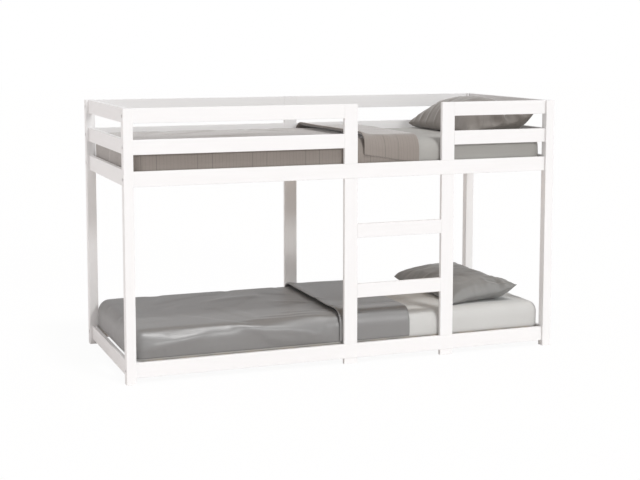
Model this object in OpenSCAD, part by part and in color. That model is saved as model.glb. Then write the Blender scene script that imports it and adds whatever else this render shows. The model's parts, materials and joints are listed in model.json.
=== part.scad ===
// Low bunk bed with a fixed front ladder, in painted pine boards on square corner posts.
// Millimetres. X runs along the bed, Y from the ladder side to the back, Z up from the floor.
// The origin is on the floor under the middle of the bed.

/* [Overall] */
// Length over the corner posts
bed_l = 1955; // [1500:5:2400]
// Width over the corner posts
bed_w = 802; // [640:2:1100]
// Height of the posts and ladder stiles
bed_h = 1116; // [1000:2:1500]

/* [Boards] */
// Corner post width along the bed
post_w = 40; // [38:1:60]
// Corner post depth across the bed
post_d = 38; // [38:1:60]
// Thickness of every rail, guard, stile and rung
board_t = 18; // [16:0.5:24]
// Width of the guards, rungs, stiles and end rails
board_w = 60; // [52:1:80]
// Height of the long side rails
rail_h = 62; // [58:1:90]
// Height of the end rails that carry the upper bunk
bunk_rail_h = 66; // [58:1:90]
// Rounding of the long edges
edge_r = 1.5; // [0.5:0.25:3]

/* [Levels] */
// Floor to the underside of the lower rails
lower_rail_z = 24; // [10:1:60]
// Gap between the two guards
guard_gap = 66; // [40:1:75]
// Gap between the upper side rail and the guard above it
deck_gap = 67; // [40:1:75]

/* [Ladder] */
// Middle of the left stile, from the middle of the bed
stile_left_x = 0; // [-60:1:60]
// Clear distance between the stiles
ladder_gap = 396; // [320:1:440]

/* [Slats] */
// Slats in each bunk
slat_n = 13; // [8:1:16]
// Slat width
slat_w = 70; // [50:1:90]
// Slat thickness
slat_t = 13; // [11:0.5:20]
// Ledger thickness, out from the side rail
ledger_t = 20; // [16:1:30]
// Ledger height
ledger_h = 24; // [18:1:30]
// Top of the lower slats below the top of their rail
lower_deck_drop = 6; // [5:1:20]
// Top of the upper slats below the top of their rail
upper_deck_drop = 24; // [5:1:24]

/* [Bedding] */
// Gap between the mattress and each side rail, where the duvet is tucked
mattress_side_gap = 9; // [7:0.5:20]
// Gap between the mattress and each end rail
mattress_end_gap = 6.5; // [2:0.5:20]
// Mattress thickness
mattress_t = 115; // [80:1:160]
// Plan radius of the mattress corners
mattress_r = 50; // [45:1:90]
// Thickness of one layer of duvet
duvet_t = 14; // [8:1:30]
// Gap between the duvet hem and the slats
duvet_hem_gap = 3; // [2:1:40]
// Turned-down length of the duvet
duvet_turn = 300; // [200:5:400]
// Head end of the mattress to the upper duvet fold
upper_fold_in = 615; // [500:5:800]
// Head end of the mattress to the lower duvet fold
lower_fold_in = 655; // [500:5:800]
// Gap between the pillow and each side rail
pillow_side_gap = 53; // [20:1:150]
// Pillow width along the bed
pillow_w = 365; // [300:5:370]
// Head end of the mattress to the middle of the upper pillow
upper_pillow_in = 190; // [190:1:400]
// Head end of the mattress to the middle of the lower pillow
lower_pillow_in = 262; // [190:1:400]
// Lean of the upper pillow
upper_pillow_lean = 12; // [0:1:16]
// Lean of the lower pillow
lower_pillow_lean = 10; // [0:1:16]
// Middle of the upper pillow above the mattress
upper_pillow_rise = 66; // [50:1:80]
// Middle of the lower pillow above the mattress
lower_pillow_rise = 56; // [45:1:80]
// Middle of the upper pillow to its top
upper_pillow_crown = 92; // [60:1:95]
// Middle of the lower pillow to its top
lower_pillow_crown = 66; // [50:1:95]
// Middle of the upper pillow to its underside
upper_pillow_belly = 48; // [20:1:50]
// Middle of the lower pillow to its underside
lower_pillow_belly = 40; // [20:1:45]

/* [Fasteners] */
// Bed bolt diameter
bolt_d = 6; // [5:1:8]
// Bed bolt length past its nut
bolt_past = 2; // [0:0.5:5]
// Bed bolt head diameter
bolt_head_d = 14; // [12:1:18]
// Bed bolt head height
bolt_head_h = 5; // [4:0.5:7]
// Depth of the recess for the bolt head
bolt_recess = 7; // [6:0.5:12]
// Width of the hexagon socket across its corners
socket_w = 5; // [4:0.5:6]
// Depth of the hexagon socket
socket_depth = 3; // [2:0.5:4]
// Barrel nut diameter
nut_d = 10; // [9:0.5:12]
// Barrel nut length
nut_l = 13; // [10:0.5:15]
// Barrel nut axis from the end of its rail
nut_setback = 35; // [25:1:40]
// Barrel nut end below the face of its rail
nut_inset = 0.5; // [0.2:0.1:1]
// Dowel diameter
dowel_d = 8; // [6:1:8]
// Dowel length
dowel_l = 35; // [30:1:40]
// Dowel length held in the post or stile
dowel_in_post = 15; // [12:1:18]
// Wood screw diameter
screw_d = 4; // [3:0.5:4.5]
// Wood screw head diameter
screw_head_d = 7.5; // [6:0.5:9]
// Wood screw head height
screw_head_h = 2.4; // [2:0.2:3]
// Ledger and slat screw length
screw_l = 30; // [24:1:32]
// Lap joint screw length
lap_screw_l = 15; // [12:0.5:15]

/* [Clearances] */
// Gap round a bolt, nut, dowel or screw
fit_gap = 0.1; // [0.05:0.05:0.3]
// Gap between loose bedding and what it rests on or slides past
soft_gap = 0.4; // [0.3:0.1:1]
// Gap round a bolt head in its recess
head_gap = 0.5; // [0.3:0.1:1]
// Gap at the end of each slat
slat_gap = 2; // [1:0.5:5]
// Gap between the hanging duvet and each side rail
duvet_side_gap = 1.6; // [1:0.1:3]

/* [Hidden] */
$fn = 32;

// Paint, timber, metal and cloth colours
paint = [0.95, 0.95, 0.94];
pine = [0.83, 0.68, 0.48];
zinc = [0.72, 0.73, 0.75];
sheet_grey = [0.86, 0.86, 0.86];
taupe = [0.55, 0.53, 0.50];
slate = [0.45, 0.45, 0.45];

// Sides of the bed: front and back, left and right
FRONT = -1;
BACK = 1;
LEFT = -1;
RIGHT = 1;

// Planes of the boards, which are centred on the posts
half_l = bed_l / 2;
half_w = bed_w / 2;
post_in_x = half_l - post_w;
post_in_y = half_w - post_d;
rail_out_y = half_w - (post_d - board_t) / 2;
rail_mid_y = rail_out_y - board_t / 2;
rail_in_y = rail_out_y - board_t;
end_out_x = half_l - (post_w - board_t) / 2;
end_mid_x = end_out_x - board_t / 2;
end_in_x = end_out_x - board_t;
lap_t = board_t / 2;

// Heights
top_guard_z = bed_h - board_w;
mid_guard_z = top_guard_z - guard_gap - board_w;
upper_rail_z = mid_guard_z - deck_gap - rail_h;
lower_deck_z = lower_rail_z + rail_h - lower_deck_drop;
upper_deck_z = upper_rail_z + rail_h - upper_deck_drop;

// Places of the ladder
stile_right_x = stile_left_x + ladder_gap + board_w;
stile_xs = [stile_left_x, stile_right_x];
rung_x0 = stile_left_x + board_w / 2;
rung_x1 = stile_right_x - board_w / 2;
back_board_x = stile_left_x;

// Long boards that meet a post, as [underside, height]
LONG_LEVELS = [
  [lower_rail_z, rail_h], [upper_rail_z, rail_h], [mid_guard_z, board_w], [top_guard_z, board_w]
];
// End boards that meet a post, as [underside, height]
END_LEVELS = [
  [lower_rail_z, board_w], [upper_rail_z, bunk_rail_h], [mid_guard_z, board_w], [top_guard_z, board_w]
];
SIDE_RAIL_LEVELS = [LONG_LEVELS[0], LONG_LEVELS[1]];
GUARD_LEVELS = [LONG_LEVELS[2], LONG_LEVELS[3]];

// Rungs, with their tops evenly spaced between the tops of the side rails
rung_n = 2;
rung_pitch = (upper_rail_z - lower_rail_z) / (rung_n + 1);
RUNG_LEVELS = [for (i = [1 : rung_n]) [lower_rail_z + rail_h + i * rung_pitch - board_w, board_w]];

// Fastener places
long_dowel_off = 20;
end_dowel_off = 11;
dowel_in_rail = dowel_l - dowel_in_post;
hole_extra = 1;
lap_screw_off = 15;
slat_screw_in = 10;
ledger_in = 50;
ledger_x = post_in_x - ledger_in;
slat_pitch = (2 * ledger_x - slat_w) / (slat_n - 1);
slat_xs = [for (i = [0 : slat_n - 1]) -ledger_x + slat_w / 2 + i * slat_pitch];
deck_tops = [lower_deck_z, upper_deck_z];
bolt_l = post_w - bolt_recess + nut_setback + nut_d / 2 + bolt_past;

// Bedding, fitted to the clear space inside the rails
mattress_l = 2 * (end_in_x - mattress_end_gap);
mattress_w = 2 * (rail_in_y - mattress_side_gap);
duvet_side_t = mattress_side_gap - soft_gap - duvet_side_gap;
duvet_drop = mattress_t + 2 * soft_gap - duvet_hem_gap;
pillow_l = 2 * (rail_in_y - pillow_side_gap);
pillow_corner_r = 40;
pillow_edge_t = 16;
pillow_skin = 1;
belly_share = [0.4, 0.55];
shoulder_share = [0.6, 0.7];
shoulder_rise = 0.75;
crown_share = [0.3, 0.4];

// True where an upright crosses the side rail at x
function crossed(x, side) =
  side == FRONT
    ? len([for (s = stile_xs) if (abs(x - s) < board_w / 2 + screw_head_d) s]) > 0
    : abs(x - back_board_x) < board_w / 2 + screw_head_d;

// Ledger screws go midway between two slats, where no upright crosses the rail
function ledger_screw_xs(side) =
  [for (i = [0 : 2 : slat_n - 2])
    let (x = slat_xs[i] + slat_pitch / 2) if (!crossed(x, side)) x];

function mid(level) = level[0] + level[1] / 2;

// Rounded rectangle from the origin to [a, b]
module board_section(a, b) {
  r = edge_r;
  corners = [[a - r, r, -90], [a - r, b - r, 0], [r, b - r, 90], [r, r, 180]];
  polygon([for (c = corners) for (t = [0 : 30 : 90])
    [c[0] + r * cos(c[2] + t), c[1] + r * sin(c[2] + t)]]);
}

// Boards along X, Y and Z, given by their low corner and length
module board_along_x(x0, x1, y0, z0, h) {
  translate([x0, y0, z0]) rotate([90, 0, 90]) linear_extrude(x1 - x0) board_section(board_t, h);
}

module board_along_y(x0, y0, y1, z0, h) {
  translate([x0, y1, z0]) rotate([90, 0, 0]) linear_extrude(y1 - y0) board_section(board_t, h);
}

// Round holes and pins along X, Y and Z; a negative length runs the other way
module rod_x(x, y, z, l, d) {
  translate([min(x, x + l), y, z]) rotate([0, 90, 0]) cylinder(h = abs(l), d = d);
}

module rod_y(x, y, z, l, d) {
  translate([x, max(y, y + l), z]) rotate([90, 0, 0]) cylinder(h = abs(l), d = d);
}

module rod_z(x, y, z, l, d) {
  translate([x, y, min(z, z + l)]) cylinder(h = abs(l), d = d);
}

// Holes in a long board whose end is at x; into = 1 where the board runs to the right of it
module long_end_holes(x, side, level, into, bolted) {
  y = side * rail_mid_y;
  for (s = [-1, 1])
    rod_x(x - into * hole_extra, y, mid(level) + s * long_dowel_off,
      into * (dowel_in_rail + 2 * hole_extra), dowel_d + 2 * fit_gap);
  if (bolted) {
    rod_x(x - into * hole_extra, y, mid(level),
      into * (bolt_l - post_w + bolt_recess + 3 * hole_extra), bolt_d + 2 * fit_gap);
    rod_y(x + into * nut_setback, side * (rail_in_y - hole_extra), mid(level),
      side * (nut_l + 2 * hole_extra), nut_d + 2 * fit_gap);
  }
}

// Clearance and countersink for a wood screw along Y whose head lies in the face at y
module screw_hole_y(x, y, z, l, toward) {
  rod_y(x, y - toward * hole_extra, z, toward * (l + hole_extra), screw_d + 2 * fit_gap);
  rod_y(x, y - toward * hole_extra, z, toward * (screw_head_h + hole_extra + fit_gap),
    screw_head_d + 2 * fit_gap);
}

// A corner post with its bolt holes, head recesses and dowel holes
module corner_post(side, hand) {
  x0 = hand == LEFT ? -half_l : post_in_x;
  y0 = side == FRONT ? -half_w : post_in_y;
  color(paint) difference() {
    translate([x0, y0, 0]) linear_extrude(bed_h) board_section(post_w, post_d);
    for (level = LONG_LEVELS) {
      rod_x(hand * (half_l + hole_extra), side * rail_mid_y, mid(level),
        -hand * (post_w + 2 * hole_extra), bolt_d + 2 * fit_gap);
      rod_x(hand * (half_l + hole_extra), side * rail_mid_y, mid(level),
        -hand * (bolt_recess + hole_extra), bolt_head_d + 2 * head_gap);
      for (s = [-1, 1])
        rod_x(hand * (post_in_x - hole_extra), side * rail_mid_y, mid(level) + s * long_dowel_off,
          hand * (dowel_in_post + 2 * hole_extra), dowel_d + 2 * fit_gap);
    }
    for (level = END_LEVELS) for (s = [-1, 1])
      rod_y(hand * end_mid_x, side * (post_in_y - hole_extra), mid(level) + s * end_dowel_off,
        side * (dowel_in_post + 2 * hole_extra), dowel_d + 2 * fit_gap);
  }
}

// Recess for a rail that passes over the outer half of an upright
module lap_recess(x, side, level) {
  y0 = side == FRONT ? -rail_out_y - hole_extra : rail_out_y - lap_t;
  translate([x - board_w, y0, level[0]]) cube([2 * board_w, lap_t + hole_extra, level[1]]);
}

// Face that the lap screws go in from: inside the bed at the front, outside it at the back
function lap_screw_y(side) = side == FRONT ? -rail_in_y : rail_out_y;

// Two holes that fix an upright to the rail passing over it
module lap_screw_holes(x, side, level) {
  for (s = [-1, 1])
    screw_hole_y(x + s * lap_screw_off, lap_screw_y(side), mid(level), lap_screw_l + hole_extra, -1);
}

// A ladder stile, halved over both side rails and drilled for guards and rungs
module ladder_stile(hand) {
  x = hand == LEFT ? stile_left_x : stile_right_x;
  y = -rail_mid_y;
  color(paint) difference() {
    translate([x - board_w / 2, -rail_out_y, 0]) linear_extrude(bed_h) board_section(board_w, board_t);
    for (level = SIDE_RAIL_LEVELS) {
      lap_recess(x, FRONT, level);
      lap_screw_holes(x, FRONT, level);
    }
    for (s = [-1, 1]) {
      for (level = GUARD_LEVELS)
        rod_x(x + hand * (board_w / 2 + hole_extra), y, mid(level) + s * long_dowel_off,
          -hand * (dowel_in_post + 2 * hole_extra), dowel_d + 2 * fit_gap);
      for (level = RUNG_LEVELS)
        rod_x(x - hand * (board_w / 2 + hole_extra), y, mid(level) + s * long_dowel_off,
          hand * (dowel_in_post + 2 * hole_extra), dowel_d + 2 * fit_gap);
    }
  }
}

// A ladder rung, butted and dowelled between the stiles
module ladder_rung(level) {
  color(paint) difference() {
    board_along_x(rung_x0, rung_x1, -rail_out_y, level[0], level[1]);
    long_end_holes(rung_x0, FRONT, level, 1, false);
    long_end_holes(rung_x1, FRONT, level, -1, false);
  }
}

// The upright board in the middle of the back, halved over all four back boards
module back_support_board() {
  color(paint) difference() {
    translate([back_board_x - board_w / 2, rail_in_y, lower_rail_z])
      linear_extrude(bed_h - lower_rail_z) board_section(board_w, board_t);
    for (level = LONG_LEVELS) {
      lap_recess(back_board_x, BACK, level);
      lap_screw_holes(back_board_x, BACK, level);
    }
  }
}

// Recess in the inner half of a long board where an upright passes
module upright_recess(x, side, level) {
  y0 = side == FRONT ? -rail_out_y + lap_t : rail_in_y - hole_extra;
  translate([x - board_w / 2, y0, level[0] - hole_extra])
    cube([board_w, lap_t + hole_extra, level[1] + 2 * hole_extra]);
  lap_screw_holes(x, side, level);
}

// A side rail from post to post, with laps for the uprights and holes for its ledger
module side_rail(side, index) {
  level = SIDE_RAIL_LEVELS[index];
  y0 = side == FRONT ? -rail_out_y : rail_in_y;
  ledger_mid_z = deck_tops[index] - slat_t - ledger_h / 2;
  color(paint) difference() {
    board_along_x(-post_in_x, post_in_x, y0, level[0], level[1]);
    long_end_holes(-post_in_x, side, level, 1, true);
    long_end_holes(post_in_x, side, level, -1, true);
    if (side == FRONT) for (x = stile_xs) upright_recess(x, FRONT, level);
    if (side == BACK) upright_recess(back_board_x, BACK, level);
    for (x = ledger_screw_xs(side))
      rod_y(x, side * (rail_in_y - hole_extra), ledger_mid_z,
        side * (screw_l - ledger_t + 2 * hole_extra), screw_d + 2 * fit_gap);
  }
}

// A front guard between a post and the nearer stile
module front_guard(hand, level) {
  post_x = hand * post_in_x;
  stile_x = hand == LEFT ? stile_left_x - board_w / 2 : stile_right_x + board_w / 2;
  color(paint) difference() {
    board_along_x(min(post_x, stile_x), max(post_x, stile_x), -rail_out_y, level[0], level[1]);
    long_end_holes(post_x, FRONT, level, -hand, true);
    long_end_holes(stile_x, FRONT, level, hand, false);
  }
}

// A back guard from post to post
module back_guard(level) {
  color(paint) difference() {
    board_along_x(-post_in_x, post_in_x, rail_in_y, level[0], level[1]);
    long_end_holes(-post_in_x, BACK, level, 1, true);
    long_end_holes(post_in_x, BACK, level, -1, true);
    upright_recess(back_board_x, BACK, level);
  }
}

// An end rail, dowelled between the front and back posts
module end_rail(hand, level) {
  x0 = hand == LEFT ? -end_out_x : end_out_x - board_t;
  color(paint) difference() {
    board_along_y(x0, -post_in_y, post_in_y, level[0], level[1]);
    for (side = [FRONT, BACK]) for (s = [-1, 1])
      rod_y(hand * end_mid_x, side * (post_in_y + hole_extra), mid(level) + s * end_dowel_off,
        -side * (dowel_in_rail + 2 * hole_extra), dowel_d + 2 * fit_gap);
  }
}

// A ledger screwed inside a side rail, which carries the slat ends
module ledger(side, index) {
  z0 = deck_tops[index] - slat_t - ledger_h;
  y0 = side == FRONT ? -rail_in_y : rail_in_y - ledger_t;
  color(pine) difference() {
    translate([-ledger_x, y0, z0]) cube([2 * ledger_x, ledger_t, ledger_h]);
    for (x = ledger_screw_xs(side))
      screw_hole_y(x, side * (rail_in_y - ledger_t), z0 + ledger_h / 2, ledger_t + hole_extra, side);
    for (x = slat_xs)
      rod_z(x, side * (rail_in_y - slat_screw_in), z0 + ledger_h + hole_extra,
        -(screw_l - slat_t + 2 * hole_extra), screw_d + 2 * fit_gap);
  }
}

// The loose row of slats of one bunk, screwed down at both ends
module slats(index) {
  z0 = deck_tops[index] - slat_t;
  slat_l = 2 * (rail_in_y - slat_gap);
  color(pine) for (x = slat_xs) difference() {
    translate([x - slat_w / 2, -slat_l / 2, z0]) cube([slat_w, slat_l, slat_t]);
    for (side = [FRONT, BACK]) {
      y = side * (rail_in_y - slat_screw_in);
      rod_z(x, y, z0 - hole_extra, slat_t + 2 * hole_extra, screw_d + 2 * fit_gap);
      rod_z(x, y, z0 + slat_t - screw_head_h - fit_gap, screw_head_h + fit_gap + hole_extra,
        screw_head_d + 2 * fit_gap);
    }
  }
}

// A foam mattress with round plan corners that clear the posts
module mattress(index) {
  straight = [mattress_l - 2 * mattress_r, mattress_w - 2 * mattress_r];
  color(sheet_grey) translate([0, 0, deck_tops[index] + soft_gap]) linear_extrude(mattress_t) {
    square([mattress_l, straight[1]], center = true);
    square([straight[0], mattress_w], center = true);
    for (x = [-1, 1]) for (y = [-1, 1])
      translate([x * straight[0] / 2, y * straight[1] / 2]) circle(r = mattress_r);
  }
}

// A duvet laid over the mattress, hanging down both long sides and turned down at the head
module duvet(index, fold_in, colour) {
  fold_x = mattress_l / 2 - fold_in;
  top_z = deck_tops[index] + mattress_t + 2 * soft_gap;
  foot_x = -mattress_l / 2;
  side_x = foot_x + mattress_r;
  in_y = mattress_w / 2 + soft_gap;
  straight_y = mattress_w / 2 - mattress_r;
  color(colour) {
    translate([side_x, -in_y, top_z]) cube([fold_x - side_x, 2 * in_y, duvet_t]);
    translate([foot_x, -straight_y, top_z]) cube([mattress_r, 2 * straight_y, duvet_t]);
    translate([fold_x - duvet_turn, -in_y, top_z + duvet_t]) cube([duvet_turn, 2 * in_y, duvet_t]);
    for (side = [FRONT, BACK]) translate([side_x, side == FRONT ? -in_y - duvet_side_t : in_y,
      top_z - duvet_drop]) cube([fold_x - side_x, duvet_side_t, duvet_drop + duvet_t]);
  }
}

// A slab of the pillow at a height, as a share of its plan size
module pillow_slab(z, share) {
  translate([0, 0, z]) linear_extrude(pillow_skin)
    square([pillow_w * share[0], pillow_l * share[1]], center = true);
}

// A filled pillow lying across the bed, propped a little at the head end
module pillow(index, in_x, rise, lean, crown, belly, colour) {
  plan = [pillow_w - 2 * pillow_corner_r, pillow_l - 2 * pillow_corner_r];
  z = deck_tops[index] + mattress_t + soft_gap + rise;
  color(colour) translate([mattress_l / 2 - in_x, 0, z]) rotate([0, -lean, 0]) hull() {
    translate([0, 0, -pillow_edge_t / 2]) linear_extrude(pillow_edge_t)
      offset(r = pillow_corner_r) square(plan, center = true);
    pillow_slab(-belly, belly_share);
    pillow_slab(crown * shoulder_rise, shoulder_share);
    pillow_slab(crown - pillow_skin, crown_share);
  }
}

// Bed bolts, one in each joint of a long board with a post
module bed_bolts() {
  head_x = bolt_recess - bolt_head_h;
  color(zinc)
    for (side = [FRONT, BACK]) for (hand = [LEFT, RIGHT]) for (level = LONG_LEVELS) difference() {
      union() {
        rod_x(hand * (half_l - head_x), side * rail_mid_y, mid(level), -hand * bolt_head_h, bolt_head_d);
        rod_x(hand * (half_l - bolt_recess + hole_extra), side * rail_mid_y, mid(level),
          -hand * (bolt_l + hole_extra), bolt_d);
      }
      translate([hand * (half_l - head_x + hole_extra), side * rail_mid_y, mid(level)])
        rotate([0, -hand * 90, 0]) cylinder(h = socket_depth + hole_extra, d = socket_w, $fn = 6);
    }
}

// Barrel nuts, one at each bolt, drilled across
module barrel_nuts() {
  color(zinc)
    for (side = [FRONT, BACK]) for (hand = [LEFT, RIGHT]) for (level = LONG_LEVELS) difference() {
      rod_y(hand * (post_in_x - nut_setback), side * (rail_in_y + nut_inset), mid(level),
        side * nut_l, nut_d);
      rod_x(hand * (post_in_x - nut_setback - nut_d), side * rail_mid_y, mid(level),
        hand * 2 * nut_d, bolt_d + 2 * fit_gap);
    }
}

// Dowels across every butt joint
module wood_dowels() {
  color(pine) for (s = [-1, 1]) {
    for (side = [FRONT, BACK]) for (hand = [LEFT, RIGHT]) {
      for (level = LONG_LEVELS)
        rod_x(hand * (post_in_x + dowel_in_post), side * rail_mid_y, mid(level) + s * long_dowel_off,
          -hand * dowel_l, dowel_d);
      for (level = END_LEVELS)
        rod_y(hand * end_mid_x, side * (post_in_y + dowel_in_post), mid(level) + s * end_dowel_off,
          -side * dowel_l, dowel_d);
    }
    for (hand = [LEFT, RIGHT]) {
      x = hand == LEFT ? stile_left_x : stile_right_x;
      for (level = GUARD_LEVELS)
        rod_x(x + hand * (board_w / 2 - dowel_in_post), -rail_mid_y, mid(level) + s * long_dowel_off,
          hand * dowel_l, dowel_d);
      for (level = RUNG_LEVELS)
        rod_x(x - hand * (board_w / 2 - dowel_in_post), -rail_mid_y, mid(level) + s * long_dowel_off,
          -hand * dowel_l, dowel_d);
    }
  }
}

// A wood screw with a flat head, from the origin along +Z
module wood_screw(l) {
  cylinder(h = screw_head_h, d = screw_head_d);
  cylinder(h = l, d = screw_d);
}

module ledger_screws() {
  color(zinc) for (side = [FRONT, BACK]) for (top = deck_tops) for (x = ledger_screw_xs(side))
    translate([x, side * (rail_in_y - ledger_t), top - slat_t - ledger_h / 2])
      rotate([-side * 90, 0, 0]) wood_screw(screw_l);
}

module slat_screws() {
  color(zinc) for (side = [FRONT, BACK]) for (top = deck_tops) for (x = slat_xs)
    translate([x, side * (rail_in_y - slat_screw_in), top]) rotate([180, 0, 0]) wood_screw(screw_l);
}

module lap_screws() {
  color(zinc) for (s = [-1, 1]) {
    for (x = stile_xs) for (level = SIDE_RAIL_LEVELS)
      translate([x + s * lap_screw_off, lap_screw_y(FRONT), mid(level)])
        rotate([90, 0, 0]) wood_screw(lap_screw_l);
    for (level = LONG_LEVELS)
      translate([back_board_x + s * lap_screw_off, lap_screw_y(BACK), mid(level)])
        rotate([90, 0, 0]) wood_screw(lap_screw_l);
  }
}

corner_post(FRONT, LEFT);  // post_front_left
corner_post(FRONT, RIGHT);  // post_front_right
corner_post(BACK, LEFT);  // post_back_left
corner_post(BACK, RIGHT);  // post_back_right
ladder_stile(LEFT);  // ladder_stile_left
ladder_stile(RIGHT);  // ladder_stile_right
ladder_rung(RUNG_LEVELS[0]);  // ladder_rung_lower
ladder_rung(RUNG_LEVELS[1]);  // ladder_rung_upper
back_support_board();
side_rail(FRONT, 0);  // side_rail_lower_front
side_rail(BACK, 0);  // side_rail_lower_back
side_rail(FRONT, 1);  // side_rail_upper_front
side_rail(BACK, 1);  // side_rail_upper_back
front_guard(LEFT, GUARD_LEVELS[0]);  // guard_mid_front_left
front_guard(LEFT, GUARD_LEVELS[1]);  // guard_top_front_left
front_guard(RIGHT, GUARD_LEVELS[0]);  // guard_mid_front_right
front_guard(RIGHT, GUARD_LEVELS[1]);  // guard_top_front_right
back_guard(GUARD_LEVELS[0]);  // guard_mid_back
back_guard(GUARD_LEVELS[1]);  // guard_top_back
end_rail(LEFT, END_LEVELS[0]);  // end_rail_bottom_left
end_rail(LEFT, END_LEVELS[1]);  // end_rail_bunk_left
end_rail(LEFT, END_LEVELS[2]);  // end_rail_mid_left
end_rail(LEFT, END_LEVELS[3]);  // end_rail_top_left
end_rail(RIGHT, END_LEVELS[0]);  // end_rail_bottom_right
end_rail(RIGHT, END_LEVELS[1]);  // end_rail_bunk_right
end_rail(RIGHT, END_LEVELS[2]);  // end_rail_mid_right
end_rail(RIGHT, END_LEVELS[3]);  // end_rail_top_right
ledger(FRONT, 0);  // ledger_lower_front
ledger(BACK, 0);  // ledger_lower_back
ledger(FRONT, 1);  // ledger_upper_front
ledger(BACK, 1);  // ledger_upper_back
slats(0);  // slats_lower
slats(1);  // slats_upper
mattress(0);  // mattress_lower
mattress(1);  // mattress_upper
duvet(0, lower_fold_in, slate);  // duvet_lower
duvet(1, upper_fold_in, taupe);  // duvet_upper
pillow(0, lower_pillow_in,  // pillow_lower
  lower_pillow_rise, lower_pillow_lean, lower_pillow_crown, lower_pillow_belly, slate);
pillow(1, upper_pillow_in,  // pillow_upper
  upper_pillow_rise, upper_pillow_lean, upper_pillow_crown, upper_pillow_belly, taupe);
bed_bolts();
barrel_nuts();
wood_dowels();
ledger_screws();
slat_screws();
lap_screws();
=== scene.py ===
"""Looks of a low bunk bed: painted timber, slatted decks, mattresses, quilts and pillows.

Lengths are in metres in the bed's own frame: X runs along the bed to the pillows, Y from the
ladder side to the back, Z up from the floor. Cloth patterns use a UV map in metres of cloth.
"""

import json
import logging
import math
from dataclasses import dataclass, field
from enum import Enum
from typing import Callable, Sequence

import bpy
import numpy as np
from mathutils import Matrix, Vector, noise

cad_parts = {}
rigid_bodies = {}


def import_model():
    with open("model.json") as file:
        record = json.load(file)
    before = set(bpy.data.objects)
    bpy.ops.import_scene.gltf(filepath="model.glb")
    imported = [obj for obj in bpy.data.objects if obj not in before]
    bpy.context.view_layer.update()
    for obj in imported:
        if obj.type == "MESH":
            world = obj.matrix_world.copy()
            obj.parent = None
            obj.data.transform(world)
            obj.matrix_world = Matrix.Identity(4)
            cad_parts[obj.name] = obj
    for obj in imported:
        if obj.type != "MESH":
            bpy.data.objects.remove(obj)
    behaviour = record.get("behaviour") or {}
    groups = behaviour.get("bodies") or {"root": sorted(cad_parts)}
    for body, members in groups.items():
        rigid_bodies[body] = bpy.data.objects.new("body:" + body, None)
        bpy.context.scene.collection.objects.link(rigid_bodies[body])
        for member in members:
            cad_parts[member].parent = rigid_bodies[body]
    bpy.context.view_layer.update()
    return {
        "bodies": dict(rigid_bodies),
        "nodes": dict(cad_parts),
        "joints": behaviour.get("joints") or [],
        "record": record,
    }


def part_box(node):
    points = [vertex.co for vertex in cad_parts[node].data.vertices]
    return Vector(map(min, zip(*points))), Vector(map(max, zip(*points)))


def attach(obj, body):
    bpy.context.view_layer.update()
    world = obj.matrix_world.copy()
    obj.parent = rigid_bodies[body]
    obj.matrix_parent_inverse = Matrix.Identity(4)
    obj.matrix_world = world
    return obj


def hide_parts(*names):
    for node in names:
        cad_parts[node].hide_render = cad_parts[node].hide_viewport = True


LOG = logging.getLogger("bunk_bed")
Point = tuple[float, float, float]
Colour = tuple[float, float, float]


class Grain(Enum):
    """The axis that a board's grain runs along."""

    X = (0.0, 0.0, 0.0)
    Y = (0.0, 0.0, math.pi / 2)
    Z = (0.0, math.pi / 2, 0.0)


class Bunk(Enum):
    """The two bunks, by the word that ends their node names."""

    LOWER = "lower"
    UPPER = "upper"


# Node trees


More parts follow.
